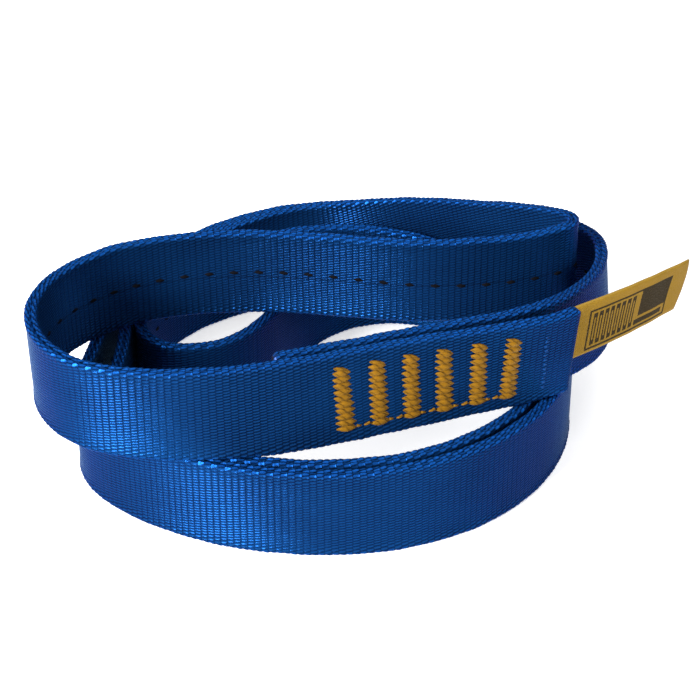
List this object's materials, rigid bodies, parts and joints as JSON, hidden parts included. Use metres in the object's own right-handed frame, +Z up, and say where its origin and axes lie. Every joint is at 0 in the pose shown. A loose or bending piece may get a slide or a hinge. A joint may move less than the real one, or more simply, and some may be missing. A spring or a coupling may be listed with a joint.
{
  "type": "webbing sling",
  "caption": "Sewn endless sling of flat blue tubular webbing, coiled on its edge in two levels, with amber bar tacks and a plain woven label.",
  "frame": {"origin": "on the floor under the middle of the whole coil, label included", "axes": "+Z up, +X to the right along the long side of the coil with the bar tacks in front, +Y to the back"},
  "size_m": [0.126, 0.112, 0.0363],
  "materials": {
    "webbing_blue": "woven nylon, satin sheen, ribbed across, with corded edges",
    "thread_amber": "filament sewing thread, satin",
    "thread_blue": "filament sewing thread, satin",
    "label_ribbon": "fine woven ribbon with a plain printed panel"
  },
  "bodies": {
    "sling": {"webbing": "webbing_blue", "bar_tack_1": "thread_amber", "bar_tack_2": "thread_amber", "bar_tack_3": "thread_amber", "bar_tack_4": "thread_amber", "bar_tack_5": "thread_amber", "bar_tack_6": "thread_amber", "jump_threads": "thread_amber", "label_tack": "thread_blue", "label_root": "label_ribbon"},
    "label": {"label_tab": "label_ribbon"}
  },
  "joints": [
    {"name": "label_fold", "type": "hinge", "parent": "sling", "child": "label", "pos_m": [0.04071, -0.02171, 0.0273], "axis": [0, 0, 1], "range_deg": [-70, 5], "stiffness_Nm_per_rad": 0.0002}
  ]
}
